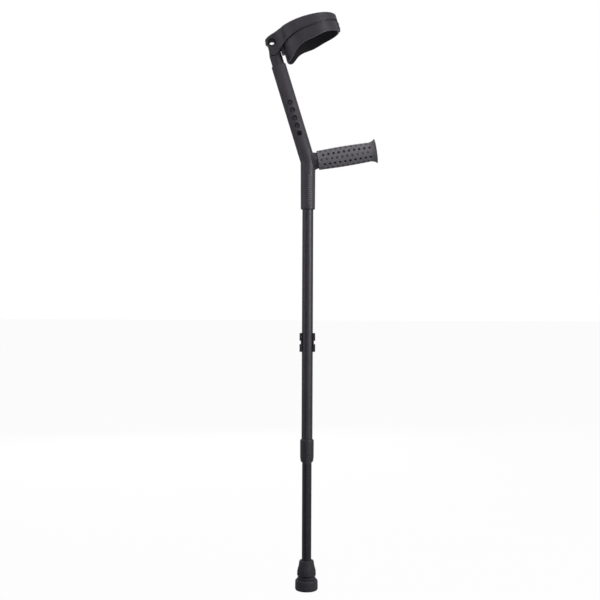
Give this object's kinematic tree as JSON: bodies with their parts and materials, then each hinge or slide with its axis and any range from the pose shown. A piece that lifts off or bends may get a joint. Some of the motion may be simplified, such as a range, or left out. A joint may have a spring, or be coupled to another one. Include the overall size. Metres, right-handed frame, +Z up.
{
  "type": "forearm crutch",
  "caption": "Height-adjustable forearm crutch: hinged forearm cuff on a leaning upper section, dimpled forward handgrip, telescoping tube shaft with spring clip and collar, and a rubber tip.",
  "frame": {"origin": "centre of the foot of the rubber tip, on the floor plane", "axes": "+Z up along the shaft, +X forward the way the handgrip points, +Y to the side away from the row of button holes"},
  "size_m": [0.2261, 0.1064, 1.1465],
  "materials": {
    "black_tube": "satin black anodised",
    "black_plastic": "fine moulded grain",
    "cuff_plastic": "fine moulded grain, slightly flexible",
    "grey_grip": "soft matt, round dimples",
    "dark_cap": "smooth moulded",
    "bush_plastic": "smooth low-friction moulding",
    "black_rubber": "matt rubber",
    "steel": "plain zinc plated",
    "black_steel": "blackened spring steel"
  },
  "bodies": {
    "shaft": {"shaft_tube": "black_tube", "handle_body": "black_plastic", "handle_rivet": "steel", "grip_sleeve": "grey_grip", "grip_end_cap": "dark_cap", "collar_shell": "black_plastic", "collar_bush": "bush_plastic"},
    "leg": {"leg_tube": "black_tube", "leg_top_guide": "bush_plastic", "tip_washer": "steel", "rubber_tip": "black_rubber"},
    "height_clip": {"height_clip": "black_plastic", "clip_pins": "steel"},
    "forearm": {"forearm_tube": "black_tube", "forearm_guide": "bush_plastic", "hinge_knuckle": "black_plastic"},
    "snap_button": {"spring_button": "black_steel"},
    "cuff": {"cuff_shell": "cuff_plastic", "cuff_bracket": "black_plastic", "hinge_eyelet": "black_steel", "hinge_washers": "bush_plastic"}
  },
  "joints": [
    {"name": "leg_slide", "type": "slide", "parent": "shaft", "child": "leg", "axis": [0, 0, -1], "range_m": [-0.0675, 0.0675]},
    {"name": "clip_pull", "type": "slide", "parent": "shaft", "child": "height_clip", "axis": [0, 1, 0], "range_m": [0, 0.03]},
    {"name": "forearm_slide", "type": "slide", "parent": "shaft", "child": "forearm", "axis": [-0.2957, 0, 0.9553], "range_m": [0, 0.064]},
    {"name": "button_press", "type": "slide", "parent": "forearm", "child": "snap_button", "axis": [0, 1, 0], "range_m": [0, 0.003], "stiffness_N_per_m": 2500, "deforming": ["spring_button"]},
    {"name": "cuff_hinge", "type": "hinge", "parent": "forearm", "child": "cuff", "pos_m": [-0.07319, 0, 1.09143], "axis": [0, -1, 0], "range_deg": [-2.5, 80]}
  ]
}
